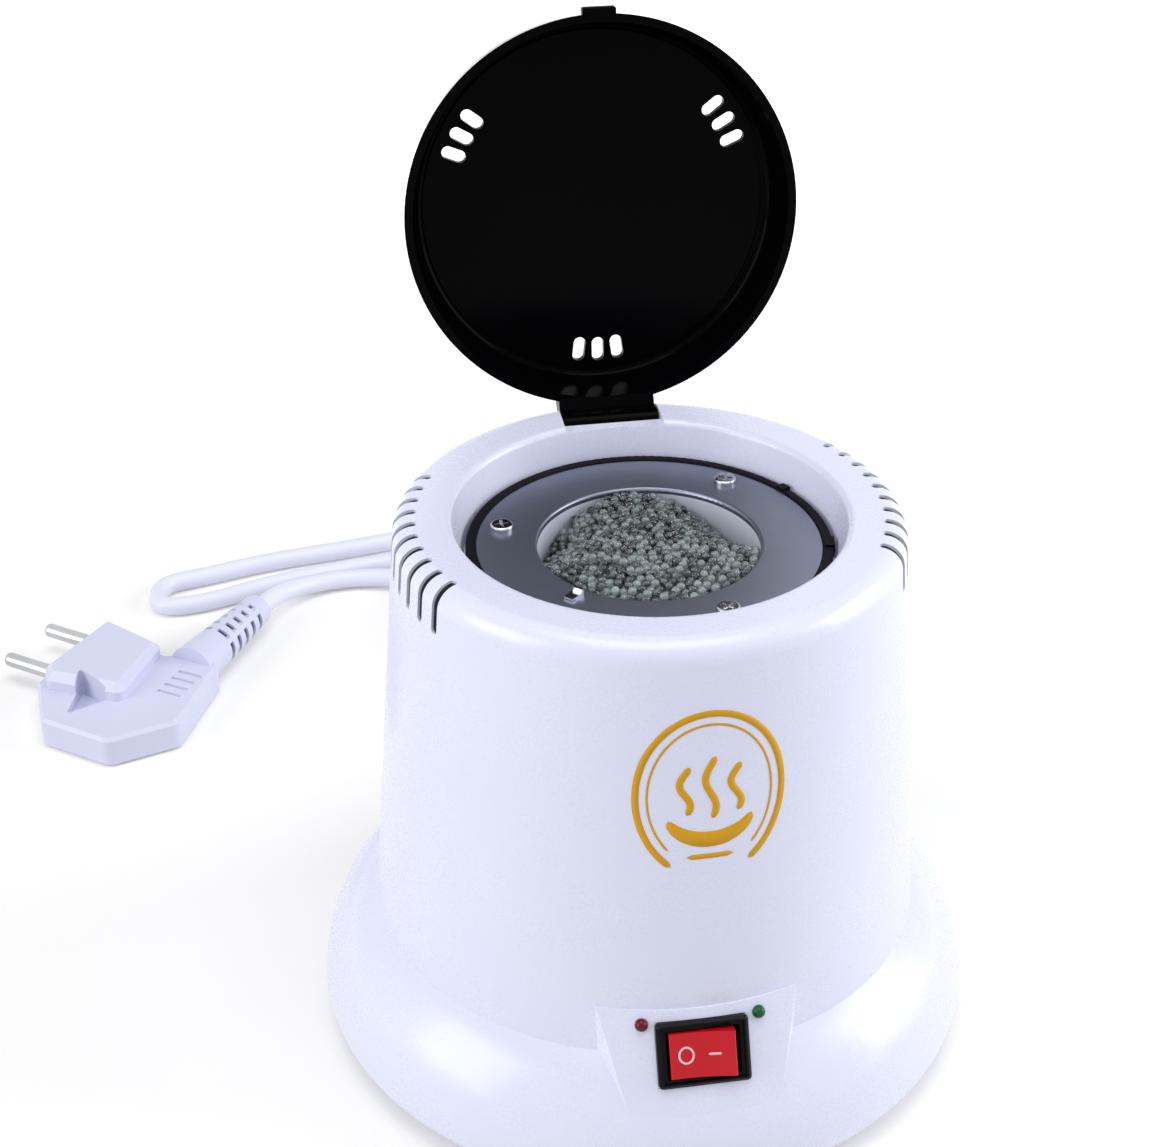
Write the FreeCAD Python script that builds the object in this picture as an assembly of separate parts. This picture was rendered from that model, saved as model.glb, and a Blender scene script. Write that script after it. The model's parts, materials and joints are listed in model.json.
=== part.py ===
import FreeCAD, Part
import math
import os

# Bench-top bead sterilizer. Millimetres, +Z up, front towards -Y,
# origin on the table under the middle of the round base.
V = FreeCAD.Vector
os.makedirs("parts", exist_ok=True)

# Housing: base skirt, tapering body, top ring with a recess
wall = 2.5
rim_z = 1.5
skirt_low_radius = 7.0
skirt_arc_radius = 29.0
skirt_max_radius = 79.6
skirt_mid_z = rim_z + skirt_low_radius
junction_radius = skirt_max_radius - 13.7
body_top_radius = junction_radius - 7.6
body_top_z = 130.5
ring_top_z = 135.5
ring_outer_fillet = 5.0
ring_inner_fillet = 1.6
recess_top_radius = body_top_radius - 13.3
recess_low_radius = recess_top_radius - 2.8
deck_z = 124.6
deck_inner_radius = recess_low_radius - 9.7
body_slope = (junction_radius - body_top_radius) / (body_top_z - 33.1)

# Vent slots round the shoulder
vent_count = 10
vent_pitch_deg = 6.0
vent_width = 2.0
vent_inner_radius = body_top_radius - 4.7
vent_low_z = 124.6

# Control console
console_top_z = 45.3
console_top_radius = junction_radius - 0.6
console_low_z = 21.0
console_lean_deg = 25.0
console_half_back = 22.5
console_half_front = 15.0
pad_below_edge = 10.0
pad_depth = 0.85
bezel_w, bezel_h, bezel_t = 21.0, 15.0, 2.0
cutout_w, cutout_h = 19.2, 12.9
rocker_l, rocker_w, rocker_tilt_deg = 15.0, 10.2, 9.0
trunnion_r, trunnion_gap = 0.8, 0.05
lamp_r = 1.5
lamp_x = 13.3
lamp_below_edge = 3.3

# Lid and hinge
lid_radius = body_top_radius - 10.9
lid_wall = 1.8
lid_depth = 11.0
lid_gap = 0.3
hinge_y, hinge_z = body_top_radius - 7.1, ring_top_z - 3.5
lid_open_deg = 97.0
lug_half = 11.8
pocket_half = 12.1
barrel_r = 3.3
pin_r = 1.0
pin_half = 14.6
running_gap = 0.05
slot_ring_radius = lid_radius - 10.7
slot_len, slot_w, slot_pitch_deg = 6.0, 3.0, 7.4

# Hot part
gasket_r = recess_low_radius - 0.4
plate_r = gasket_r - 2.5
plate_low_z, plate_t = 126.0, 1.4
bowl_r, bowl_wall, bowl_floor_z = 25.5, 1.8, 76.0
flange_r = bowl_r + 4.8
flange_stud_r = bowl_r + 3.5
plate_screw_radius = plate_r - 5.0
plate_screw_angles = (47.0, 160.0, -71.0)
shield_r, shield_t, shield_low_z, shield_top_z = plate_r - 1.2, 0.8, 56.0, 114.0
post_radius = shield_r - 6.8
post_angles = (30.0, 150.0, 270.0)

# Base plate, feet and screws
plate_disc_r = skirt_max_radius - 9.8
plate_disc_gap = 0.3
disc_t = 2.5
foot_r, foot_ring_r, foot_t = 6.0, skirt_max_radius - 22.6, 2.3
boss_r, boss_ring_r = 4.0, skirt_max_radius - 14.6
boss_angles = (22.0, 158.0, 202.0, 338.0)
clamp_x, clamp_y = 11.3, skirt_max_radius - 23.6

# Mains cord
cord_r = 3.0
cord_exit_z = 13.0
tail_end_y = skirt_max_radius - 0.6
floor_cord_z = 3.1
coil_x, coil_y = 8.0, 172.0
coil_mean_r = 34.0
coil_lift = 0.9
plug_x, plug_y, plug_turn_deg = -135.0, 140.0, 56.0
plug_flat_z, plug_block_z = 10.0, 15.5
plug_pin_r, plug_pin_len, plug_pin_gap, plug_pin_z = 2.2, 19.0, 19.0, 7.6


def polar(r, deg, z=0.0):
    return V(r * math.cos(math.radians(deg)), r * math.sin(math.radians(deg)), z)


def cyl(r, z0, z1, at=V(0, 0, 0)):
    return Part.makeCylinder(r, z1 - z0, V(at.x, at.y, z0))


def tube(ro, ri, z0, z1, at=V(0, 0, 0)):
    return cyl(ro, z0, z1, at).cut(cyl(ri, z0 - 1, z1 + 1, at))


def box(x0, x1, y0, y1, z0, z1):
    return Part.makeBox(x1 - x0, y1 - y0, z1 - z0, V(x0, y0, z0))


def fuse(shapes):
    shapes = list(shapes)
    out = shapes[0].multiFuse(shapes[1:]) if len(shapes) > 1 else shapes[0]
    return out.removeSplitter()


def placed(shape, at=V(0, 0, 0), axis=V(0, 0, 1), deg=0.0):
    out = shape.copy()
    out.Placement = FreeCAD.Placement(at, FreeCAD.Rotation(axis, deg)).multiply(out.Placement)
    return out


def around(shape, deg):
    return placed(shape, V(0, 0, 0), V(0, 0, 1), deg)


def corner(p0, p1, p2, r):
    # tangent points and middle of a rounded corner in a plane
    a, b = (p0 - p1).normalize(), (p2 - p1).normalize()
    half = math.acos(max(-1.0, min(1.0, a.dot(b)))) / 2
    d = r / math.tan(half)
    mid = p1 + (a + b).normalize() * (r / math.sin(half) - r)
    return p1 + a * d, mid, p1 + b * d


def outline(points, radii=None):
    # closed wire through points, with rounded corners where a radius is given
    n = len(points)
    radii = radii or [0] * n
    marks = []
    for i in range(n):
        if radii[i] > 0:
            marks.append(corner(points[i - 1], points[i], points[(i + 1) % n], radii[i]))
        else:
            marks.append((points[i], None, points[i]))
    edges = []
    for i in range(n):
        start, mid, end = marks[i]
        if mid is not None:
            edges.append(Part.Arc(start, mid, end).toShape())
        nxt = marks[(i + 1) % n][0]
        if end.distanceToPoint(nxt) > 1e-6:
            edges.append(Part.LineSegment(end, nxt).toShape())
    return Part.Wire(edges)


def rz(pairs):
    return [V(r, 0, z) for r, z in pairs]


def revolved(pairs, radii=None, start=0.0, sweep=360.0):
    face = Part.Face(outline(rz(pairs), radii))
    out = face.revolve(V(0, 0, 0), V(0, 0, 1), sweep)
    return around(out, start) if start else out


def prism(points, radii, z0, z1):
    wire = outline([V(x, y, z0) for x, y in points], radii)
    return Part.Face(wire).extrude(V(0, 0, z1 - z0))


def hexagon(r):
    return [(polar(r, a).x, polar(r, a).y) for a in range(0, 360, 60)]


def slot(length, width, depth):
    # flat slot along X, centred, going down from z = depth to -depth
    h = length / 2 - width / 2
    body = box(-h, h, -width / 2, width / 2, -depth, depth)
    ends = [cyl(width / 2, -depth, depth, V(s * h, 0, 0)) for s in (-1, 1)]
    return fuse([body] + ends)


def screw(head_r, head_h, shank_r, length, cross=True):
    # pan head on z = 0, shank going down
    head = cyl(head_r, 0, head_h)
    head = head.makeFillet(head_h * 0.45, [e for e in head.Edges if abs(e.BoundBox.ZMin - head_h) < 1e-4
                                           and len(e.Vertexes) == 1])
    out = head.fuse(cyl(shank_r, -length, 0))
    if cross:
        a, b, d = head_r * 0.62, head_r * 0.14, head_h * 0.55
        out = out.cut(box(-a, a, -b, b, head_h - d, head_h + 1))
        out = out.cut(box(-b, b, -a, a, head_h - d, head_h + 1))
    return out


def route_wire(points, factor=0.45):
    # straight runs joined by tangent arcs
    edges, pos, radii = [], points[0], []
    for i in range(1, len(points) - 1):
        p0, p1, p2 = points[i - 1], points[i], points[i + 1]
        turn = (p1 - p0).getAngle(p2 - p1)
        r = factor * min(p0.distanceToPoint(p1), p1.distanceToPoint(p2)) / math.tan(turn / 2)
        radii.append(r)
        s, m, e = corner(p0, p1, p2, r)
        edges.append(Part.LineSegment(pos, s).toShape())
        edges.append(Part.Arc(s, m, e).toShape())
        pos = e
    edges.append(Part.LineSegment(pos, points[-1]).toShape())
    return Part.Wire(edges), radii


def swept(points, r, name=""):
    wire, radii = route_wire(points)
    d = (points[1] - points[0]).normalize()
    ring = Part.Wire(Part.Circle(points[0], d, r).toShape())
    solid = wire.makePipeShell([ring], True, True)
    solid = solid if solid.ShapeType == "Solid" else Part.Solid(solid)
    if solid.Volume < 0:
        solid.reverse()
    if name:
        want = math.pi * r * r * wire.Length
        print(name, "length", round(wire.Length, 1), "smallest radius", round(min(radii), 1),
              "volume ratio", round(solid.Volume / want, 4))
    return solid


def export(name, shape):
    shapes = shape if isinstance(shape, list) else [shape]
    solids = [s for sh in shapes for s in sh.Solids]
    out = solids[0] if len(solids) == 1 else Part.makeCompound(solids)
    out.exportStep(os.path.join("parts", name + ".step"))
    print(name, "solids", len(solids), "volume", round(sum(s.Volume for s in solids), 1),
          "valid", all(s.isValid() for s in solids))


# Housing moulding
def body_radius(z):
    return body_top_radius + (body_top_z - z) * body_slope


def arc_z(radius, r):
    # height on the skirt's long arc of a given radius, at distance r from the axis
    dr = r - (skirt_max_radius - skirt_arc_radius)
    return skirt_mid_z + math.sqrt(radius * radius - dr * dr)


def meet(radius, inset):
    # where the long arc meets the body wall, found by stepping towards it
    r = junction_radius - inset
    for _ in range(30):
        z = arc_z(radius, r)
        r = body_radius(z) - inset * math.sqrt(1 + body_slope ** 2)
    return r, z


def skirt_edges(inset):
    # edges from the rim up the skirt to the body wall
    rl, ra = skirt_low_radius - inset, skirt_arc_radius - inset
    cl = skirt_max_radius - skirt_low_radius
    ca = skirt_max_radius - skirt_arc_radius
    jr, jz = meet(ra, inset)
    k = math.sqrt(0.5)
    low = V(cl, 0, skirt_mid_z - rl)
    side = V(skirt_max_radius - inset, 0, skirt_mid_z)
    top = V(jr, 0, jz)
    half = math.atan2(jz - skirt_mid_z, jr - ca) / 2
    arc1 = Part.Arc(low, V(cl + rl * k, 0, skirt_mid_z - rl * k), side).toShape()
    arc2 = Part.Arc(side, V(ca + ra * math.cos(half), 0, skirt_mid_z + ra * math.sin(half)), top).toShape()
    return low, [arc1, arc2], top


def solid_profile(inset, upper):
    # filled body of revolution: skirt arcs, then the listed upper points with radii
    low, arcs, top = skirt_edges(inset)
    pts, rad = upper
    edges = [Part.LineSegment(V(0, 0, low.z), low).toShape()] + arcs
    pos = top
    for i, p in enumerate(pts):
        if rad[i] > 0:
            s, m, e = corner(pos if i == 0 else pts[i - 1], p, pts[i + 1], rad[i])
            edges += [Part.LineSegment(pos, s).toShape(), Part.Arc(s, m, e).toShape()]
            pos = e
        else:
            edges.append(Part.LineSegment(pos, p).toShape())
            pos = p
    edges.append(Part.LineSegment(pos, V(0, 0, low.z)).toShape())
    return Part.Face(Part.Wire(edges)).revolve(V(0, 0, 0), V(0, 0, 1), 360)


def housing_outer():
    zt = ring_top_z
    return solid_profile(0.0, (rz([(body_radius(zt), zt), (recess_top_radius, zt),
                                   (recess_low_radius, deck_z), (0, deck_z)]),
                               [ring_outer_fillet, ring_inner_fillet, 0, 0]))


def housing_inner():
    zi = ring_top_z - wall
    low = deck_z - wall
    ri = body_radius(zi) - wall * 1.003
    return solid_profile(wall, (rz([(ri, zi), (recess_top_radius + wall, zi),
                                    (recess_low_radius + wall, low), (0, low)]),
                                [ring_outer_fillet - wall, 0, 0, 0]))


def console_wedge(inset):
    # sector leaning out from the body, narrowed towards the front in plan
    t = math.tan(math.radians(console_lean_deg))
    back = inset / math.cos(math.radians(console_lean_deg))
    zt, zl = console_top_z - inset, console_low_z
    rt = console_top_radius + (console_top_z - zt) * t - back
    rl = console_top_radius + (console_top_z - zl) * t - back
    back_r, low_r = junction_radius - 9.9, junction_radius - 1.9
    ring = revolved([(back_r, zt), (rt, zt), (rl, zl), (low_r, zl), (back_r, zl + 7)], None, -120, 60)
    hb, hf = console_half_back - inset, console_half_front - inset
    yb, yf = 3.9 - junction_radius, 0.6 - skirt_max_radius
    plan = prism([(-hb - 4, yb + 10), (-hb, yb), (-hf, yf), (hf, yf), (hb, yb), (hb + 4, yb + 10)], None, 0, 60)
    return ring.common(plan)


def face_frame(shape, x, below, depth=0.0):
    # local x right, y up the leaning face, z out of it; x is turned round the body
    lean = math.radians(console_lean_deg)
    r = console_top_radius + below * math.sin(lean) - depth * math.cos(lean)
    z = console_top_z - below * math.cos(lean) - depth * math.sin(lean)
    turn = math.degrees(math.asin(x / r)) if x else 0.0
    out = placed(shape, V(0, -r, z), V(1, 0, 0), 90 - console_lean_deg)
    return around(out, turn)


def vent_cutter():
    r0, r1 = vent_inner_radius, body_top_radius + 4
    h = vent_width / 2
    cut = box(r0, r1, -h, h, vent_low_z + h, ring_top_z + 4)
    end = Part.makeCylinder(h, r1 - r0, V(r0, 0, vent_low_z + h), V(1, 0, 0))
    return fuse([cut, end, cyl(h, vent_low_z, ring_top_z + 4, V(r0, 0, 0))])


def hinge_block(grow):
    p = pocket_half + grow
    return box(-p, p, lid_radius - 0.1 - grow, hinge_y + 4.8 + grow, hinge_z - 4.4 - grow, ring_top_z + 5)


def vents():
    cut = vent_cutter()
    half = (vent_count - 1) / 2.0
    return [around(cut, side + (i - half) * vent_pitch_deg) for side in (0, 180) for i in range(vent_count)]


def make_housing():
    outer = housing_outer()
    ledge = tube(recess_low_radius + 2.2, deck_inner_radius, deck_z - wall, deck_z)
    shell = outer.fuse(console_wedge(0.0)).cut(housing_inner()).cut(console_wedge(wall))
    shell = shell.cut(cyl(deck_inner_radius, deck_z - 10, deck_z + 1))
    bosses = [cyl(boss_r, rim_z + disc_t + 0.05, 31, polar(boss_ring_r, a)) for a in boss_angles]
    ears = [cyl(3.6, deck_z - 10, deck_z - 1, polar(plate_screw_radius, a)) for a in plate_screw_angles]
    gland_pad = Part.makeCylinder(8.0, 12.0, V(0, skirt_max_radius - 12, cord_exit_z), V(0, 1, 0))
    hold = hinge_block(3.6).common(outer).cut(cyl(recess_top_radius - 0.4, 100, 140))
    adds = [b.common(outer) for b in bosses] + ears + [hold, gland_pad]
    shell = shell.fuse(ledge).multiFuse(adds)
    p = pocket_half
    front, back, top = recess_top_radius - 3, body_top_radius + 4, ring_top_z + 10
    cuts = [hinge_block(0), box(-p, p, front, back, ring_top_z - 1.4, top),
            box(-p, p, hinge_y + 3.8, back, ring_top_z - 4.9, top)]
    cuts.append(Part.makeCylinder(pin_r + 0.01, 2 * pin_half, V(-pin_half, hinge_y, hinge_z), V(1, 0, 0)))
    cuts.append(Part.makeCylinder(4.7, 30, V(0, skirt_max_radius - 20, cord_exit_z), V(0, 1, 0)))
    cuts.append(cyl(plate_disc_r + plate_disc_gap, 0, rim_z + disc_t + 0.01))
    cuts += [cyl(1.15, 0, 14, polar(boss_ring_r, a)) for a in boss_angles]
    cuts += [cyl(1.2, deck_z - 8, deck_z + 1, polar(plate_screw_radius, a)) for a in plate_screw_angles]
    hw, hh = bezel_w / 2 + 0.1, bezel_h / 2 + 0.1
    cuts.append(face_frame(box(-hw, hw, -hh, hh, 0, 5), 0, pad_below_edge, pad_depth))
    cuts.append(face_frame(box(-cutout_w / 2, cutout_w / 2, -cutout_h / 2, cutout_h / 2, -8, 5), 0,
                           pad_below_edge, pad_depth))
    cuts += [face_frame(cyl(lamp_r + 0.02, -6, 4), s * lamp_x, lamp_below_edge) for s in (-1, 1)]
    for c in cuts + vents():
        shell = shell.cut(c)
    return shell.removeSplitter()


def make_base():
    z0, z1 = rim_z, rim_z + disc_t
    disc = cyl(plate_disc_r, z0, z1)
    for a in boss_angles:
        disc = disc.cut(cyl(1.7, z0 - 1, z1 + 1, polar(boss_ring_r, a)))
    for a in post_angles:
        disc = disc.cut(cyl(1.6, z0 - 1, z1 + 1, polar(post_radius, a)))
    for a in range(45, 360, 90):
        disc = disc.cut(cyl(foot_r + 0.05, z0 - 1, z0 + 0.8, polar(foot_ring_r, a)))
        disc = disc.cut(cyl(2.05, z0 - 1, z1 + 1, polar(foot_ring_r, a)))
    for i in range(12):
        disc = disc.cut(around(placed(slot(14, 3, 5), V(18, 0, z0), V(0, 0, 1), 0), i * 30 + 15))
    for x in (-clamp_x, clamp_x):
        disc = disc.cut(cyl(1.15, z0 - 1, z1 + 1, V(x, clamp_y, 0)))
    return disc


def make_feet():
    out = []
    for a in range(45, 360, 90):
        at = polar(foot_ring_r, a)
        foot = Part.makeCone(foot_r - 0.6, foot_r, foot_t, V(at.x, at.y, 0))
        stem = cyl(2.0, foot_t - 0.2, rim_z + disc_t, at)
        head = Part.makeCone(2.7, 1.6, 1.6, V(at.x, at.y, rim_z + disc_t))
        out.append(fuse([foot, stem, head]))
    return out


def make_base_screws():
    s = placed(screw(2.8, 1.4, 1.1, 11.5), V(0, 0, 0), V(1, 0, 0), 180)
    return [placed(s, polar(boss_ring_r, a, rim_z)) for a in boss_angles]


# Lid, built closed and then opened about the hinge
def opened(shape):
    moved = placed(shape, V(0, -hinge_y, -hinge_z))
    moved = placed(moved, V(0, 0, 0), V(1, 0, 0), -lid_open_deg)
    return placed(moved, V(0, hinge_y, hinge_z))


def lid_pan(inset):
    z0 = ring_top_z + lid_gap
    h = lid_depth + (lid_wall if inset == 0 else 0)
    r0, r1 = lid_radius - inset, lid_radius - inset - 2.2
    fil = 3.6 if inset == 0 else 2.2
    low = z0 if inset == 0 else z0 - 1
    return revolved([(0, low), (r0, low), (r1, z0 + h), (0, z0 + h)], [0, 0, fil, 0])


def make_lid():
    z0 = ring_top_z + lid_gap
    cavity = lid_pan(lid_wall)
    shell = lid_pan(0).cut(cavity)
    top = z0 + lid_depth
    lip_r = lid_radius - 6.2
    lip = tube(lip_r + 0.8, lip_r, top - 0.5, top + 0.2)
    arm_pts = [(lid_radius - 3, z0 + 0.4), (lid_radius + 0.5, z0 - 1.2), (lid_radius + 0.5, hinge_z),
               (hinge_y, hinge_z - 2), (hinge_y + 3, hinge_z + 1.2), (lid_radius - 0.2, z0 + 5.7),
               (lid_radius - 3, z0 + 5.7)]
    wire = outline([V(-lug_half, y, z) for y, z in arm_pts])
    arm = Part.Face(wire).extrude(V(2 * lug_half, 0, 0))
    barrel = Part.makeCylinder(barrel_r, 2 * lug_half, V(-lug_half, hinge_y, hinge_z), V(1, 0, 0))
    lug = arm.fuse(barrel).cut(cavity)
    bore = Part.makeCylinder(pin_r + running_gap, 60, V(-30, hinge_y, hinge_z), V(1, 0, 0))
    tab = box(-4, 4, -lid_radius - 1.4, -lid_radius + 3, z0 + 0.2, z0 + 2.4)
    tab = tab.makeFillet(0.6, [e for e in tab.Edges if e.BoundBox.YMax < -lid_radius - 1.3])
    lid = fuse([shell, lug, tab.cut(cavity), lip]).cut(bore)
    for base in (-90, 30, 150):
        for k in (-1, 0, 1):
            cut = placed(slot(slot_len, slot_w, 8), V(slot_ring_radius, 0, top))
            # the lid opens over, so its back edge group lies towards the hinge
            lid = lid.cut(around(cut, -base + k * slot_pitch_deg))
    return opened(lid.removeSplitter())


def make_hinge_pin():
    pin = Part.makeCylinder(pin_r, 2 * pin_half - 0.4, V(-pin_half + 0.2, hinge_y, hinge_z), V(1, 0, 0))
    return pin


# Hot plate, bowl and beads
def make_gasket():
    lip_r, low = plate_r - 3.0, deck_z
    ring = revolved([(lip_r, low), (gasket_r, low), (gasket_r, low + 3.2), (plate_r + 0.1, low + 3.2),
                     (plate_r + 0.1, plate_low_z), (lip_r, plate_low_z)], [0, 0, 0.6, 0.4, 0, 0])
    for a, w in ((-11, 4.0), (28, 2.4)):
        nib = box(gasket_r - 2, gasket_r + 0.25, -w / 2, w / 2, low + 0.4, low + 3.6)
        ring = ring.fuse(around(nib, a))
    return ring.removeSplitter()


def make_top_plate():
    z0, z1 = plate_low_z, plate_low_z + plate_t
    plate = tube(plate_r, bowl_r, z0, z1)
    edge = [e for e in plate.Edges if abs(e.BoundBox.ZMin - z1) < 1e-4 and e.BoundBox.ZLength < 1e-4
            and e.BoundBox.XLength < 2 * bowl_r + 1 and len(e.Vertexes) == 1]
    plate = plate.makeFillet(0.7, edge)
    for a in plate_screw_angles:
        plate = plate.cut(cyl(1.6, z0 - 1, z1 + 1, polar(plate_screw_radius, a)))
    for a in (15.0, 135.0, 255.0):
        plate = plate.cut(cyl(1.05, z0 - 1, z0 + 0.8, polar(flange_stud_r, a)))
    at = polar(flange_r + 0.7, -135)
    return plate.cut(placed(box(-1.3, 1.3, -0.6, 0.6, z0 - 1, z1 + 1), at, V(0, 0, 1), -45))


def make_plate_screws():
    s = screw(2.7, 1.3, 1.15, 8.4)
    return [placed(s, polar(plate_screw_radius, a, plate_low_z + plate_t), V(0, 0, 1), a + 20)
            for a in plate_screw_angles]


def make_clip():
    # bent strip through the plate's slot, hooked over its edge
    z = plate_low_z + plate_t
    strip = fuse([box(-1.2, 1.2, -0.5, 0.5, plate_low_z - 1.5, z + 0.6),
                  box(-1.2, 1.2, -0.5, 3.6, z, z + 0.6),
                  box(-1.2, 1.2, 2.9, 3.6, z, z + 1.4)])
    return placed(strip, polar(flange_r + 0.7, -135), V(0, 0, 1), -45)


def make_bowl():
    ro, top = bowl_r + bowl_wall, plate_low_z
    z0 = bowl_floor_z
    cup = revolved([(0, z0), (ro, z0), (ro, top - 1.5), (flange_r, top - 1.5), (flange_r, top), (bowl_r, top),
                    (bowl_r, z0 + bowl_wall), (0, z0 + bowl_wall)], [0, 3, 0, 0, 0, 0, 1.5, 0])
    studs = [cyl(1.0, top - 0.5, top + 0.7, polar(flange_stud_r, a)) for a in (15.0, 135.0, 255.0)]
    return fuse([cup] + studs)


def bead_height(r):
    # heap slightly proud in the middle
    return plate_low_z + 2.6 - 3.0 * (r / bowl_r) ** 2


def make_beads():
    zb = bowl_floor_z + bowl_wall
    edge_r = bowl_r - 0.05
    top = [V(0, 0, bead_height(0)), V(edge_r * 0.35, 0, bead_height(edge_r * 0.35)),
           V(edge_r * 0.7, 0, bead_height(edge_r * 0.7)), V(edge_r, 0, bead_height(edge_r))]
    curve = Part.BSplineCurve()
    curve.interpolate(top)
    f = 1.6
    low = corner(V(edge_r, 0, 100), V(edge_r, 0, zb), V(0, 0, zb), f)
    edges = [curve.toShape(), Part.LineSegment(top[-1], low[0]).toShape(),
             Part.Arc(low[0], low[1], low[2]).toShape(), Part.LineSegment(low[2], V(0, 0, zb)).toShape(),
             Part.LineSegment(V(0, 0, zb), top[0]).toShape()]
    return Part.Face(Part.Wire(edges)).revolve(V(0, 0, 0), V(0, 0, 1), 360)


# Heater, insulation, shield and posts
heater_low, heater_high = 82.0, 112.0
heater_t = 2.4
stud_end_r = bowl_r + 11.1
stud_angles = (150.0, 210.0)


def make_heater():
    ri = bowl_r + bowl_wall
    band = tube(ri + heater_t, ri, heater_low, heater_high).cut(box(20, 40, -1.5, 1.5, 0, 140))
    lugs = [box(ri + 1, ri + 8, s * 3 - 1.2, s * 3 + 1.2, heater_low + 10, heater_high - 10).common(
        tube(ri + 8, ri, 60, 120)) for s in (-0.9, 0.9)]
    band = fuse([band] + lugs)
    hole = Part.makeCylinder(1.3, 20, V(ri + 5, -10, 97), V(0, 1, 0))
    return band.cut(hole)


def make_band_screw():
    x = bowl_r + bowl_wall + 5
    bolt = placed(screw(2.4, 1.6, 1.25, 10.5), V(x, -3.9, 97), V(1, 0, 0), 90)
    nut = prism(hexagon(2.6), None, 0, 1.9).cut(cyl(1.26, -1, 3))
    return [bolt, placed(nut, V(x, 5.8, 97), V(1, 0, 0), 90)]


def make_terminals():
    out = []
    for a in stud_angles:
        r = bowl_r + bowl_wall + heater_t
        at = polar(r - 0.2, a, 0)
        stud = Part.makeCylinder(1.4, stud_end_r - r + 0.2, V(at.x, at.y, 90), polar(1, a))
        out.append(stud.cut(cyl(r, 80, 100)))
    return out


def make_collars():
    out = []
    for a in stud_angles:
        r = bowl_r + bowl_wall + heater_t
        at = polar(r - 0.02, a, 0)
        ring = Part.makeCylinder(3.0, 3.2, V(at.x, at.y, 90), polar(1, a))
        ring = ring.cut(Part.makeCylinder(1.42, 9, V(at.x, at.y, 90), polar(1, a)))
        out.append(ring.cut(cyl(r, 80, 100)))
    return out


def make_insulation():
    low = shield_low_z + shield_t
    ri = bowl_r + bowl_wall + heater_t + 0.3
    ro = shield_r - shield_t - 0.05
    sleeve = tube(ro, ri, low, shield_top_z - 1.0)
    floor = tube(ro, 17.0, low, low + 6.0)
    out = fuse([sleeve, floor])
    out = out.cut(box(ri - 2, ri + 9, -5.6, 7.8, 88, 130))
    for a in stud_angles:
        out = out.cut(around(box(ri - 2, ro + 2, -4, 4, 86, 130), a))
    for a in post_angles:
        out = out.cut(cyl(3.2, low - 1, low + 1.7, polar(post_radius, a)))
    return out


def make_spacer():
    low = shield_low_z + shield_t
    return revolved([(12.2, low), (16.5, low), (16.5, bowl_floor_z), (13.6, bowl_floor_z),
                     (12.2, bowl_floor_z - 3)])


def make_shield():
    low = shield_low_z
    can = tube(shield_r, shield_r - shield_t, low, shield_top_z)
    floor = tube(shield_r, 9.0, low, low + shield_t)
    out = can.fuse(floor)
    for a in post_angles:
        out = out.cut(cyl(1.6, low - 1, low + 2, polar(post_radius, a)))
    for a in stud_angles:
        out = out.cut(around(box(30, 50, -5, 5, 84, 98), a))
    for i in range(16):
        win = Part.makeCylinder(2.0, 12, V(shield_r - 6, 0, 108), V(1, 0, 0))
        out = out.cut(around(win, i * 22.5 + 11.25))
    return out.removeSplitter()


def make_posts():
    z0, z1 = rim_z + disc_t, shield_low_z
    out = []
    for a in post_angles:
        six = prism(hexagon(3.5), None, z0, z1)
        six = six.cut(cyl(1.25, z0 - 1, z0 + 9)).cut(cyl(1.25, z1 - 9, z1 + 1))
        out.append(placed(six, polar(post_radius, a)))
    return out


def make_post_screws():
    # the low ones come up through the base plate, the high ones hold the can
    low = placed(screw(2.8, 1.2, 1.2, 8.5), V(0, 0, 0), V(1, 0, 0), 180)
    high = screw(2.8, 1.4, 1.2, 7.0)
    out = [placed(low, polar(post_radius, a, rim_z)) for a in post_angles]
    out += [placed(high, polar(post_radius, a, shield_low_z + shield_t)) for a in post_angles]
    return out


def make_temperature_switch():
    z = bowl_floor_z
    disc = fuse([cyl(8.0, z - 2.2, z - 0.02), cyl(7.0, z - 6.5, z - 2.2)])
    tabs = [box(s * 4 - 0.4, s * 4 + 0.4, -1.6, 1.6, z - 13, z - 6.3) for s in (-1, 1)]
    return fuse([disc] + tabs)


def make_switch_clip():
    # spring bridge pressing the temperature switch on the bowl's floor
    z = bowl_floor_z
    low = shield_low_z + shield_t
    bar = box(-10.1, 10.1, 3.2, 5.8, z - 7.3, z - 6.52)
    legs = [box(s * 9.7 - 0.4, s * 9.7 + 0.4, 3.2, 5.8, low, z - 6.6) for s in (-1, 1)]
    return fuse([bar] + legs)


def make_thermal_fuse():
    at = polar(shield_r + 3.2, 180, 0)
    body = cyl(2.0, 70, 81, at)
    ends = [cyl(0.5, 62, 70.5, at), cyl(0.5, 80.5, 89, at)]
    return fuse([body] + ends)


def make_fuse_clip():
    at = polar(shield_r + 3.2, 180, 0)
    band = tube(2.6, 2.02, 72, 79, at)
    foot = box(-shield_r - 2.0, -shield_r - 0.02, -1.0, 1.0, 73, 78).cut(cyl(2.02, 60, 90, at))
    return fuse([band, foot])


# Switch, lamps and their board
def in_face(shape):
    return face_frame(shape, 0, pad_below_edge, pad_depth)


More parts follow.
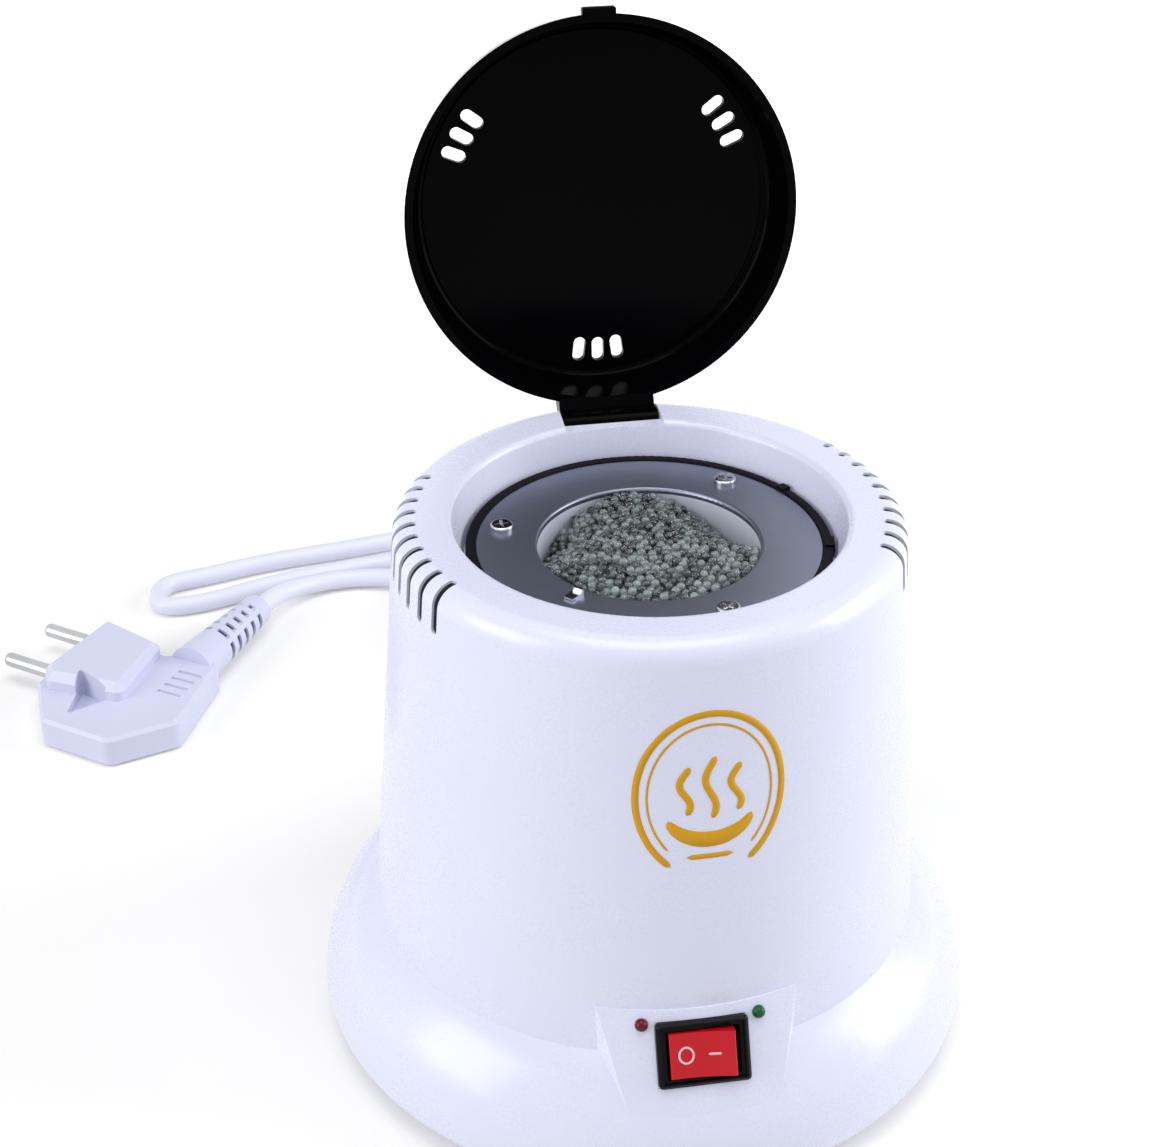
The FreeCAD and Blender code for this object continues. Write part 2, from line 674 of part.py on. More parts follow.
def switch_frame_local():
    w, h, t = bezel_w / 2, bezel_h / 2, bezel_t
    lip = prism([(-w, -h), (w, -h), (w, h), (-w, h)], [1.0] * 4, 0, t)
    top = [e for e in lip.Edges if e.BoundBox.ZMin > t - 0.01]
    lip = lip.makeChamfer(0.7, top)
    case = box(-cutout_w / 2 + 0.1, cutout_w / 2 - 0.1, -cutout_h / 2 + 0.05, cutout_h / 2 - 0.05, -13, 0.4)
    body = lip.fuse(case)
    ow, oh = rocker_l / 2 + 0.9, rocker_w / 2 + 0.35
    body = body.cut(box(-ow, ow, -oh, oh, -8, t + 1))
    cone = prism([(-ow - 0.9, -oh - 0.9), (ow + 0.9, -oh - 0.9), (ow + 0.9, oh + 0.9), (-ow - 0.9, oh + 0.9)],
                 None, t - 0.6, t + 1)
    body = body.cut(cone)
    pins = Part.makeCylinder(trunnion_r + trunnion_gap, 12.2, V(0, -6.1, 0), V(0, 1, 0))
    for x in (-5.5, 0, 5.5):
        body = body.cut(box(x - 0.42, x + 0.42, -2.42, 2.42, -14, -7))
    return body.cut(pins)


def rocker_local():
    a, w = rocker_l / 2, rocker_w / 2
    pts = [(-a, 3.7), (-a * 0.5, 2.95), (0, 2.7), (a * 0.5, 2.95), (a, 3.7), (a - 0.4, -1.0), (3.5, -4.2),
           (-3.5, -4.2), (-a + 0.4, -1.0)]
    wire = outline([V(x, -w, z) for x, z in pts], [0.5, 6, 6, 6, 0.5, 0.6, 1, 1, 0.6])
    body = Part.Face(wire).extrude(V(0, 2 * w, 0))
    pins = Part.makeCylinder(trunnion_r, 12.0, V(0, -6.0, 0), V(0, 1, 0))
    return placed(body.fuse(pins), V(0, 0, 0), V(0, 1, 0), -rocker_tilt_deg)


def make_spades():
    out = []
    for x in (-5.5, 0, 5.5):
        blade = box(x - 0.4, x + 0.4, -2.4, 2.4, -20, -7.2)
        out.append(in_face(blade.cut(Part.makeCylinder(0.8, 3, V(x - 1.5, 0, -17.5), V(1, 0, 0)))))
    return out


def lamp_local():
    dome = Part.makeSphere(lamp_r, V(0, 0, 0.1)).common(box(-3, 3, -3, 3, 0.1, 4))
    return fuse([dome, cyl(lamp_r, -4.6, 0.1), cyl(1.9, -5.6, -4.6)])


def make_lamp(side):
    return face_frame(lamp_local(), side * lamp_x, lamp_below_edge)


def make_lamp_leads():
    out = []
    for s in (-1, 1):
        for y in (-0.7, 0.7):
            out.append(face_frame(cyl(0.25, -11, -5.6, V(0, y, 0)), s * lamp_x, lamp_below_edge))
    return out


# Wiring and terminal block
block_y, block_low = clamp_y - 12.0, rim_z + disc_t


def make_terminal_block():
    z = block_low
    out = box(-13, 13, block_y - 5, block_y + 5, z, z + 11)
    for x in (-8, 0, 8):
        out = out.cut(cyl(2.2, z + 7, z + 12, V(x, block_y, 0))).cut(cyl(1.22, z + 4, z + 8, V(x, block_y, 0)))
        out = out.cut(Part.makeCylinder(1.5, 12, V(x, block_y - 6, z + 4.5), V(0, 1, 0)))
    return out


def make_block_screws():
    z = block_low
    return [placed(screw(2.0, 1.0, 1.2, 2.2), V(x, block_y, z + 7)) for x in (-8, 0, 8)]


def make_clamp():
    # bridge and saddle that hold the cord inside the housing
    z, top = block_low, cord_exit_z + cord_r + 0.02
    half, foot = 6.0, clamp_x + 2.4
    side = [V(-foot, 0, z), V(-half, 0, z), V(-half, 0, top), V(half, 0, top), V(half, 0, z), V(foot, 0, z),
            V(foot, 0, z + 3), V(half + 3, 0, z + 3), V(half + 3, 0, top + 3), V(-half - 3, 0, top + 3),
            V(-half - 3, 0, z + 3), V(-foot, 0, z + 3)]
    bar = Part.Face(outline(side)).extrude(V(0, 8, 0)).translated(V(0, clamp_y - 4, 0))
    saddle = box(-half + 0.02, half - 0.02, clamp_y - 4, clamp_y + 4, z, cord_exit_z)
    saddle = saddle.cut(Part.makeCylinder(cord_r + 0.02, 20, V(0, clamp_y - 10, cord_exit_z), V(0, 1, 0)))
    for x in (-clamp_x, clamp_x):
        bar = bar.cut(cyl(1.25, z - 1, z + 9, V(x, clamp_y, 0)))
    return [bar, saddle]


def make_clamp_screws():
    return [placed(screw(2.1, 1.3, 1.1, 5.0), V(x, clamp_y, block_low + 3)) for x in (-clamp_x, clamp_x)]


def make_cord_tail():
    # the stretch of cord inside the housing, straight from the block to the gland
    return Part.makeCylinder(cord_r, tail_end_y - block_y - 5, V(0, block_y + 5, cord_exit_z), V(0, 1, 0))


def spade_point(x, out):
    # a point straight behind one of the switch's blades
    return in_face(Part.Vertex(x, 0, -20.0 - out)).BoundBox.Center


def wire_paths():
    z = block_low + 4.5
    front = block_y - 4
    fuse_x = -shield_r - 3.2
    tab_z = bowl_floor_z - 13
    live = [V(-8, front, z), V(-10.5, 26, z), V(-46, 20, z + 4), V(-50, -14, z + 6), V(-22, -34, 20),
            spade_point(-5.5, 9), spade_point(-5.5, 0)]
    neutral = [V(8, front, z), V(10.5, 26, z), V(9, 12, z + 12), V(5.5, 1, z + 28), V(4, 0, tab_z - 12),
               V(4, 0, tab_z)]
    earth = [V(0, front, z), V(0, 26, z), V(6, 12, z + 6), V(17, 4, z + 22), V(18, 6, shield_low_z - 9),
             V(18, 6, shield_low_z)]
    to_fuse = [spade_point(0, 0), spade_point(0, 9), V(-18, -30, 24), V(-41, -20, 30), V(-46, -6, 42),
               V(fuse_x, 0, 52), V(fuse_x, 0, 62)]
    to_stud = [V(fuse_x, 0, 89), V(fuse_x, 0, 97), V(-46, 14, 98), polar(48, 150, 90),
               polar(stud_end_r + 0.02, 150, 90)]
    to_switch = [polar(stud_end_r + 0.02, 210, 90), polar(48, 210, 90), V(-46, -20, 66), V(-38, -18, 48),
                 V(-18, -8, 44), V(-5, -1, 48), V(-4, 0, 56), V(-4, 0, tab_z)]
    return [("wire_live", [live]), ("wire_neutral", [neutral]), ("wire_earth", [earth]),
            ("wire_heater", [to_fuse, to_stud, to_switch])]


# Cord, coil, tie, gland and plug
def plug_frame(c, p, z=0.0):
    t = math.radians(plug_turn_deg)
    return V(plug_x + c * math.cos(t) - p * math.sin(t), plug_y + c * math.sin(t) + p * math.cos(t), z)


def in_plug(shape):
    return placed(shape, V(plug_x, plug_y, 0), V(0, 0, 1), plug_turn_deg)


relief_p, relief_c0, relief_c1, relief_z = -13.6, 24.0, 62.0, 7.6


def cord_routes():
    zf, lift = floor_cord_z, coil_lift
    cx, cy, rm = coil_x, coil_y, coil_mean_r
    first = [V(0, tail_end_y, cord_exit_z), V(0, tail_end_y + 27, cord_exit_z), V(14, 127.5, 8.5), V(42, 136.5, zf),
             V(60, 158, zf), V(64, 190, zf), V(50, 220, zf), V(14, 236, zf), V(-22, 232.5, zf), V(-52, 225.6, zf),
             V(-84, 221, zf), V(-106, 214.5, zf), V(-120, 211.5, zf), V(-120.5, 197.0, zf), V(-106, 197.5, zf),
             V(-84, 206.5, zf), V(-52, 213.5, zf), V(-24, 215.5, zf), V(cx - 4, cy + rm + 6.5, zf + lift)]
    last = [V(cx - rm, cy - 4, 8.7), V(-28, 188, 8.9), V(-40, 201, 4.4), V(-58, 206, zf), V(-72.5, 202, 4.2),
            plug_frame(relief_c1 + 10, relief_p, relief_z), plug_frame(relief_c1 - 4, relief_p, relief_z)]
    return first, last


def make_cord(coil):
    # both tubes end where they go under the coil's outer face
    out = []
    for route, name in zip(cord_routes(), ("cord to coil", "coil to plug")):
        left = swept(route, cord_r, name).cut(coil)
        out.append(max(left.Solids, key=lambda s: s.Volume))
    return out


def coil_section(grow, low):
    cx, cy, rm = coil_x, coil_y, coil_mean_r
    a, b = rm - 6.2 - grow, rm + 6.2 + grow
    top = coil_lift + 11.4 + grow
    mid = coil_lift + 5.8
    pts = [(a, low), (b, low), (b, mid + grow * 0.5), (rm + 2.9 + grow * 0.7, top), (rm - 2.9 - grow * 0.7, top),
           (a, mid + grow * 0.5)]
    return pts, [2.6, 2.6, 2.4, 2.4, 2.4, 2.4]


def make_coil():
    pts, rad = coil_section(0.0, coil_lift + 0.1)
    return placed(revolved(pts, rad), V(coil_x, coil_y, 0))


def make_tie():
    pts, rad = coil_section(0.9, 0.05)
    out = revolved(pts, rad, -5.0, 9.0)
    inner, rin = coil_section(0.0, coil_lift + 0.1)
    out = out.cut(revolved(inner, rin))
    knob = box(coil_mean_r + 6.9, coil_mean_r + 10.2, -3.4, 3.0, coil_lift + 1.0, coil_lift + 5.4)
    out = out.fuse(around(knob, -0.5)).cut(revolved(inner, rin))
    return around(placed(out, V(0, 0, 0)), -25).translated(V(coil_x, coil_y, 0))


def make_gland():
    y0 = skirt_max_radius
    axis = V(0, 1, 0)
    at = V(0, y0, cord_exit_z)
    out = [Part.makeCylinder(6.4, 2.4, at, axis), Part.makeCylinder(4.62, 9.0, V(0, y0 - 9, cord_exit_z), axis),
           Part.makeCone(5.2, 3.9, 14, V(0, y0 + 2, cord_exit_z), axis)]
    body = fuse(out)
    for i in range(4):
        y = y0 + 3.6 + i * 2.9
        cut = box(-8, 8, y, y + 1.3, cord_exit_z - 8, cord_exit_z + 8)
        cut = cut.cut(Part.makeCylinder(3.55, 60, V(0, y0 - 20, cord_exit_z), axis))
        keep = box(-1.1, 1.1, y - 1, y + 3, cord_exit_z - 8, cord_exit_z + 8) if i % 2 else \
            box(-8, 8, y - 1, y + 3, cord_exit_z - 1.1, cord_exit_z + 1.1)
        body = body.cut(cut.cut(keep))
    return body.cut(Part.makeCylinder(cord_r + 0.02, 60, V(0, y0 - 20, cord_exit_z), axis))


plug_face = (V(-4.5, 22.6, 0), V(30.0, 20.6, 0))


def plug_block():
    # flat body with a raised hub along the face that the pins come out of
    start, end = plug_face
    flat = prism([(-20.5, 9.5), (start.x, start.y), (end.x, end.y), (24, -6), (33, -8), (27.5, -21.5), (-5, -27.7),
                  (-21.8, -14.4)], [3, 3, 2.5, 2.5, 2.5, 5, 4, 4], 0.3, plug_flat_z)
    rim = [e for e in flat.Edges if e.BoundBox.ZLength < 0.01]
    flat = flat.makeChamfer(1.0, rim)
    hub = prism([(-6.5, 17.5), (-1.0, 21.4), (29.0, 19.6), (23.7, -3.5), (-3.5, -7.5)], [2.8] * 5, 4.0, plug_block_z)
    top = [e for e in hub.Edges if e.BoundBox.ZMin > plug_block_z - 0.01]
    return flat.fuse(hub.makeChamfer(2.4, top))


def make_plug():
    body = plug_block()
    relief = Part.makeCone(7.2, 5.0, relief_c1 - relief_c0, V(relief_c0, relief_p, relief_z), V(1, 0, 0))
    body = body.fuse(relief)
    for i in range(5):
        x = relief_c0 + 13 + i * 4.4
        top = box(x, x + 1.8, relief_p - 5.5, relief_p + 5.5, relief_z + 4.1, relief_z + 9)
        for s in (-1, 1):
            body = body.cut(box(x, x + 1.8, relief_p + s * 7 - 3, relief_p + s * 7 + 3, relief_z - 3.6, relief_z + 2.8))
        body = body.cut(top.cut(box(x - 1, x + 3, relief_p - 1.0, relief_p + 1.0, 0, 30)))
    arrow = prism([(0, 9.5), (-15, 4.5), (-3.5, -2.5)], [0.6, 0.6, 0.6], plug_flat_z - 3.2, plug_block_z + 2)
    body = body.cut(arrow)
    for i in range(4):
        groove = box(6 + i * 3.8, 7.2 + i * 3.8, -21, -13, plug_flat_z - 0.6, plug_flat_z + 2)
        body = body.cut(groove)
    bore = Part.makeCylinder(cord_r + 0.02, 4.0, V(relief_c1 - 4.0, relief_p, relief_z), V(1, 0, 0))
    body = body.cut(bore)
    for pin in pin_rods(0.0):
        body = body.cut(pin)
    return in_plug(body)


def pin_rods(round_end):
    # two rods square to the plug's face, the same distance each side of their middle point
    start, end = plug_face
    along = (end - start).normalize()
    out = V(-along.y, along.x, 0)
    middle = start + along * 18.5
    rods = []
    for side in (-0.5, 0.5):
        foot = middle + along * (side * plug_pin_gap) - out * 12 + V(0, 0, plug_pin_z)
        rod = Part.makeCylinder(plug_pin_r, 12 + plug_pin_len, foot, out)
        if round_end:
            tip = foot + out * (12 + plug_pin_len)
            rod = rod.makeFillet(round_end, [e for e in rod.Edges if len(e.Vertexes) == 1
                                             and e.BoundBox.Center.distanceToPoint(tip) < 0.5])
        rods.append(rod)
    return rods


def make_plug_pins():
    return [in_plug(rod) for rod in pin_rods(1.4)]


def main():
    export("housing_shell", make_housing())
    export("base_plate", make_base())
    export("rubber_feet", make_feet())
    export("base_screws", make_base_screws())
    export("lid", make_lid())
    export("hinge_pin", make_hinge_pin())
    export("sealing_ring", make_gasket())
    export("top_plate", make_top_plate())
    export("plate_screws", make_plate_screws())
    export("plate_clip", make_clip())
    export("bead_bowl", make_bowl())
    export("glass_beads", make_beads())
    export("heater_band", make_heater())
    export("band_screw", make_band_screw())
    export("heater_studs", make_terminals())
    export("stud_collars", make_collars())
    export("insulation_sleeve", make_insulation())
    export("ceramic_spacer", make_spacer())
    export("heat_shield", make_shield())
    export("hex_posts", make_posts())
    export("post_screws", make_post_screws())
    export("temperature_switch", make_temperature_switch())
    export("switch_clip", make_switch_clip())
    export("thermal_fuse", make_thermal_fuse())
    export("fuse_clip", make_fuse_clip())
    export("rocker_frame", in_face(switch_frame_local()))
    export("rocker", in_face(rocker_local()))
    export("switch_spades", make_spades())
    export("red_lamp", make_lamp(-1))
    export("green_lamp", make_lamp(1))
    export("lamp_leads", make_lamp_leads())
    export("terminal_block", make_terminal_block())
    export("block_screws", make_block_screws())
    export("cord_clamp", make_clamp())
    export("clamp_screws", make_clamp_screws())
    for name, paths in wire_paths():
        export(name, [swept(path, 0.9, name) for path in paths])
    export("cord_gland", make_gland())
    coil = make_coil()
    export("power_cord", make_cord(coil))
    export("cord_coil", coil)
    export("cord_tail", make_cord_tail())
    export("cord_tie", make_tie())
    export("plug_body", make_plug())
    export("plug_pins", make_plug_pins())


main()
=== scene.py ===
import json
import math

import bmesh
import bpy
import numpy as np
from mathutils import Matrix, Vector


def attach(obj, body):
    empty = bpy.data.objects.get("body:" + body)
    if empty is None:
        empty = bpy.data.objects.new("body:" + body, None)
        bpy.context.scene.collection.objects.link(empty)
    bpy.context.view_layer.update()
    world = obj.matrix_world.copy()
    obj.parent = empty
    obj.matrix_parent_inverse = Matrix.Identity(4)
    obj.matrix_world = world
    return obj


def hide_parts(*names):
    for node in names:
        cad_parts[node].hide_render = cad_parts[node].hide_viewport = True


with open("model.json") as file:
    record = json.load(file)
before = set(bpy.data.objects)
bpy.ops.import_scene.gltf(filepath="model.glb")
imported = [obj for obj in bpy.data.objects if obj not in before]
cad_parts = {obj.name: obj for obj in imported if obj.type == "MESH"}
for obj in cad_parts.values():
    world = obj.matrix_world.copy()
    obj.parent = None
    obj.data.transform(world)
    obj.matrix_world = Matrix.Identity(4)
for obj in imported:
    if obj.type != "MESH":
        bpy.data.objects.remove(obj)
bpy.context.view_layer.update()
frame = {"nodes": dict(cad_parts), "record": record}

# Places that the part's source also holds, in metres
BODY_TOP_RADIUS = 0.0583
BODY_TOP_Z = 0.1305
SKIRT_JOIN_RADIUS = 0.0659
SKIRT_JOIN_Z = 0.0331
BODY_SLOPE = (SKIRT_JOIN_RADIUS - BODY_TOP_RADIUS) / (BODY_TOP_Z - SKIRT_JOIN_Z)
RING_TOP_Z = 0.1355
ROUND_RADIUS = 0.005
RECESS_RADIUS = 0.0450
BOWL_RADIUS = 0.0255
CONSOLE_TOP_Z = 0.0453
CONSOLE_TOP_RADIUS = 0.0653
CONSOLE_LEAN = math.radians(25)
PAD_BELOW_EDGE = 0.010
PAD_DEPTH = 0.00085
ROCKER_TILT = math.radians(9)
CORD_RADIUS = 0.003
COIL_CENTRE = (0.008, 0.172)
COIL_RADIUS = 0.034
COIL_FLOOR_Z = 0.0040
PLUG_CENTRE = (-0.135, 0.140)
PLUG_TURN = math.radians(56)
RELIEF_OFFSET = -0.0136
RELIEF_Z = 0.0076
RELIEF_START = 0.024
RELIEF_LENGTH = 0.038
RELIEF_RADIUS = 0.0072
RELIEF_TAPER = 0.0022

# Camera, fitted to the outlines in the photograph
IMAGE_WIDTH = 1169
CAMERA_AZIMUTH = math.radians(-11.577)
CAMERA_ELEVATION = math.radians(35.874)
CAMERA_DISTANCE = 0.550
CAMERA_TARGET = Vector((0, 0, 0.060))
CAMERA_PAN = -0.0285
CAMERA_TILT = 0.0922
FOCAL_PIXELS = 2255.5
SENSOR_WIDTH = 36.0


# Shader tools
class Value:
    """A shader socket that takes part in sums and products as a number would."""

    def __init__(self, finish, socket):
        self.finish = finish
        self.socket = socket

    def maths(self, operation, first, second):
        return self.finish.node("ShaderNodeMath", {"operation": operation}, {0: first, 1: second})

    def __add__(self, other):
        return self.maths("ADD", self, other)

    def __radd__(self, other):
        return self.maths("ADD", other, self)

    def __sub__(self, other):
        return self.maths("SUBTRACT", self, other)

    def __rsub__(self, other):
        return self.maths("SUBTRACT", other, self)

    def __mul__(self, other):
        return self.maths("MULTIPLY", self, other)

    def __pow__(self, other):
        return self.maths("POWER", self, other)

    def __lt__(self, other):
        return self.maths("LESS_THAN", self, other)

    def __gt__(self, other):
        return self.maths("GREATER_THAN", self, other)

    def at_least(self, least):
        return self.maths("MAXIMUM", self, least)


class Finish:
    """A material under construction: node() makes any node, the rest are its everyday uses."""

    def __init__(self, name):
        self.material = bpy.data.materials.new(name)
        self.material.use_nodes = True
        self.tree = self.material.node_tree
        self.tree.nodes.clear()
        self.place = self.node("ShaderNodeTexCoord", output="Object")

    def node(self, kind, settings=None, inputs=None, output=0):
        made = self.tree.nodes.new(kind)
        for key, setting in (settings or {}).items():
            if key == "stops":
                self.fill_ramp(made.color_ramp, setting)
            else:
                setattr(made, key, setting)
        for key, given in (inputs or {}).items():
            if isinstance(given, Value):
                self.tree.links.new(given.socket, made.inputs[key])
            else:
                made.inputs[key].default_value = given
        return Value(self, made.outputs[output]) if len(made.outputs) else None

    def fill_ramp(self, ramp, stops):
        while len(ramp.elements) < len(stops):
            ramp.elements.new(0.5)
        for element, (place, grey) in zip(ramp.elements, stops):
            element.position = place
            element.color = (grey, grey, grey, 1)

    def noise(self, scale, detail, place=None):
        return self.node("ShaderNodeTexNoise", None,
                         {"Vector": place or self.place, "Scale": scale, "Detail": detail})

    def apart(self):
        first = self.node("ShaderNodeSeparateXYZ", None, {0: self.place})
        outputs = first.socket.node.outputs
        return first, Value(self, outputs["Y"]), Value(self, outputs["Z"])

    def mix(self, factor, first, second):
        return self.node("ShaderNodeMix", {"data_type": "RGBA"},
                         {0: factor, 6: first, 7: second}, output=2)

    def ramp(self, factor, stops):
        return self.node("ShaderNodeValToRGB", {"stops": stops}, {0: factor})

    def stretch(self, scale, turn=(0, 0, 0)):
        return self.node("ShaderNodeMapping", None,
                         {"Vector": self.place, "Scale": scale, "Rotation": turn})

    def bump(self, height, depth):
        return self.node("ShaderNodeBump", None,
                         {"Strength": 1.0, "Distance": depth, "Height": height})

    def surface(self, **inputs):
        named = {key.replace("_", " "): given for key, given in inputs.items()}
        shader = self.node("ShaderNodeBsdfPrincipled", None, named)
        self.node("ShaderNodeOutputMaterial", None, {"Surface": shader})
        return self.material


def linear(red, green, blue):
    """A colour written in display numbers from 0 to 255, as the scene's light values."""
    parts = []
    for part in (red, green, blue):
        part = part / 255
        parts.append(part / 12.92 if part <= 0.04045 else ((part + 0.055) / 1.055) ** 2.4)
    return (*parts, 1.0)


# Finishes
def moulded(name, colour, shade, rough, grain=900.0, depth=0.00002, gloss=0.5):
    """Moulded plastic or rubber: slow drift of colour and gloss, with a fine skin texture."""
    finish = Finish(name)
    drift = finish.noise(28.0, 2.0)
    skin = finish.noise(grain, 4.0)
    wavy = finish.noise(90.0, 1.0)
    return finish.surface(
        Base_Color=finish.mix(drift, colour, shade),
        Roughness=rough + (skin - 0.5) * rough * 0.35 + (wavy - 0.5) * rough * 0.3,
        Normal=finish.bump(skin * 0.35 + wavy, depth), Specular_IOR_Level=gloss)


def bare_metal(name, colour, shade, rough, grain=600.0, depth=0.00001, streak=(1, 1, 1),
               metallic=1.0):
    """Bare metal: fine streaks along one direction, with cloudy changes of roughness."""
    finish = Finish(name)
    place = finish.stretch(streak)
    streaks = finish.noise(grain, 5.0, place)
    clouds = finish.noise(60.0, 2.0)
    return finish.surface(
        Base_Color=finish.mix(clouds, colour, shade), Metallic=metallic,
        Roughness=rough + (streaks - 0.5) * rough * 0.5 + (clouds - 0.5) * rough * 0.4,
        Normal=finish.bump(streaks, depth))


# Where the housing's painted shade lies: deeper than the skin, outside the recess's edge, above
# the lowest vents, but not on the hinge's seat
SKIN_DEPTH = 0.0006
RECESS_EDGE = 0.0016
VENTS_LOWEST_Z = 0.060
HINGE_SEAT_FRONT = 0.038
HINGE_SEAT_HALF_WIDTH = 0.017


def housing_finish():
    """Glossy white moulding with a cool tint, unpolished inside, with painted shade there: a dark
    grey stands for the shade in the vent slots and on the hidden wall.

    Inside means the vent slots and the hidden wall: all that lies deeper than the skin below the
    rounded outer surface and outside the recess, but for the hinge's seat."""
    finish = Finish("housing_white")
    across, along, height = finish.apart()
    radius = (across * across + along * along) ** 0.5
    outer = BODY_TOP_RADIUS + (BODY_TOP_Z - height) * BODY_SLOPE
    past_side = (radius - outer + ROUND_RADIUS).at_least(0.0)
    past_top = (height - RING_TOP_Z + ROUND_RADIUS).at_least(0.0)
    depth = ROUND_RADIUS - (past_side * past_side + past_top * past_top) ** 0.5
    hinge_seat = (along > HINGE_SEAT_FRONT) * (across * across < HINGE_SEAT_HALF_WIDTH ** 2)
    # Mask for the painted shade in the vent slots and on the hidden wall
    inside = (depth > SKIN_DEPTH) * (radius > RECESS_RADIUS + RECESS_EDGE)
    inside = inside * (height > VENTS_LOWEST_Z) * (1.0 - hinge_seat)
    drift = finish.noise(28.0, 2.0)
    skin = finish.noise(1400.0, 4.0)
    wavy = finish.noise(60.0, 1.0)
    face = finish.mix(drift, linear(229, 231, 248), linear(223, 226, 246))
    return finish.surface(
        # Painted shade: dark grey in place of the white where the slots and hidden wall lie in
        # shade
        Base_Color=finish.mix(inside, face, linear(70, 72, 84)),
        Roughness=0.28 + (skin - 0.5) * 0.08 + (wavy - 0.5) * 0.06 + inside * 0.4,
        Normal=finish.bump(skin * 0.3 + wavy, 0.000008), Coat_Weight=0.2, Coat_Roughness=0.16)


# Where the plug's painted shade lies: deeper than the cone's surface, between the first and last
# cut
CUT_DEPTH = 0.0008
CUTS_START, CUTS_END = 0.0355, 0.0575


def plug_finish():
    """The cord's plastic, with painted shade inside the cuts round the tapered relief: a darker
    colour stands for the shade in them.

    A point is in a cut where it lies nearer to the relief's axis than the cone's surface."""
    finish = Finish("plug_white")
    cos, sin = math.cos(PLUG_TURN), math.sin(PLUG_TURN)
    across, along, height = finish.apart()
    east, north = across - PLUG_CENTRE[0], along - PLUG_CENTRE[1]
    reach = east * cos + north * sin
    aside = north * cos - east * sin - RELIEF_OFFSET
    level = height - RELIEF_Z
    radial = (aside * aside + level * level) ** 0.5
    cone = RELIEF_RADIUS - (reach - RELIEF_START) * (RELIEF_TAPER / RELIEF_LENGTH)
    # Mask for the painted shade inside the relief's cuts
    cut = (radial < cone - CUT_DEPTH) * (reach > CUTS_START) * (reach < CUTS_END)
    drift = finish.noise(40.0, 2.0)
    skin = finish.noise(1000.0, 4.0)
    face = finish.mix(drift, linear(216, 219, 238), linear(208, 211, 233))
    # Painted shade: a darker blue-grey in place of the white inside the cuts
    return finish.surface(Base_Color=finish.mix(cut, face, linear(128, 132, 156)),
                          Roughness=0.34 + (skin - 0.5) * 0.12 + cut * 0.3,
                          Normal=finish.bump(skin, 0.00001))


def plate_finish():
    """Satin steel turned on its axis: rings that are finer than the eye sees, and soft clouds."""
    finish = Finish("plate_steel")
    across, along, _ = finish.apart()
    radius = (across * across + along * along) ** 0.5
    rings = finish.node("ShaderNodeTexNoise", {"noise_dimensions": "1D"},
                        {"W": radius, "Scale": 4200.0, "Detail": 2.0})
    clouds = finish.noise(45.0, 3.0)
    return finish.surface(
        Base_Color=finish.mix(clouds, linear(142, 148, 164), linear(118, 124, 142)),
        Metallic=0.85,
        Roughness=0.36 + (rings - 0.5) * 0.16 + (clouds - 0.5) * 0.1,
        Normal=finish.bump(rings, 0.000006))


# How fast the painted light changes from the lit front of the heap to its shaded back
PAINTED_LIGHT_FADE = 22


def glass_finish(name, back, front, clear):
    """Bead glass with a faint cool tint and painted light: lighter at the front than at the
    shaded back of the heap, with random near-white patches painted in as glints.
    """
    finish = Finish(name)
    haze = finish.noise(700.0, 1.0)
    _, along, _ = finish.apart()
    # Painted light: the lighter front colour at the front of the heap, the darker back colour at
    # its back
    tint_and_painted_light = finish.mix(0.5 - along * PAINTED_LIGHT_FADE, back, front)
    # Painted glints: random near-white patches mixed into the colour
    streak = finish.ramp(haze, [(0.45, 0.0), (0.62, 0.5)])
    return finish.surface(
        Base_Color=finish.mix(streak, tint_and_painted_light, linear(240, 250, 250)),
        Roughness=0.01 + haze * 0.02, IOR=1.5, Transmission_Weight=clear,
        Normal=finish.bump(haze, 0.00002))


def fibre_finish(name, colour, shade):
    """Matted fibre: crossed streaks that lie in all directions."""
    finish = Finish(name)
    one = finish.noise(700.0, 4.0, finish.stretch((1, 1, 6)))
    two = finish.noise(700.0, 4.0, finish.stretch((6, 1, 1), (0.6, 0, 0.4)))
    felt = one * 0.5 + two * 0.5
    return finish.surface(Base_Color=finish.mix(felt, colour, shade),
                          Roughness=0.8 + felt * 0.15, Normal=finish.bump(felt, 0.0002))


def ceramic_finish(name, colour, shade, rough):
    """Fired or pressed mineral: fine grain with a few darker specks."""
    finish = Finish(name)
    grain = finish.noise(1500.0, 4.0)
    specks = finish.ramp(finish.noise(320.0, 2.0), [(0.0, 1.0), (0.36, 1.0), (0.42, 0.0)])
    return finish.surface(Base_Color=finish.mix(specks, colour, shade),
                          Roughness=rough + grain * 0.15, Normal=finish.bump(grain, 0.00004))


def lamp_finish(name, colour, shade):
    """An unlit lamp's deep tinted lens, darker in patches, with a thin gloss."""
    finish = Finish(name)
    depth = finish.noise(260.0, 1.0)
    return finish.surface(Base_Color=finish.mix(depth, colour, shade),
                          Roughness=0.08 + depth * 0.06, Coat_Weight=0.12, Coat_Roughness=0.03,
                          Specular_IOR_Level=0.2, Normal=finish.bump(depth, 0.00001))


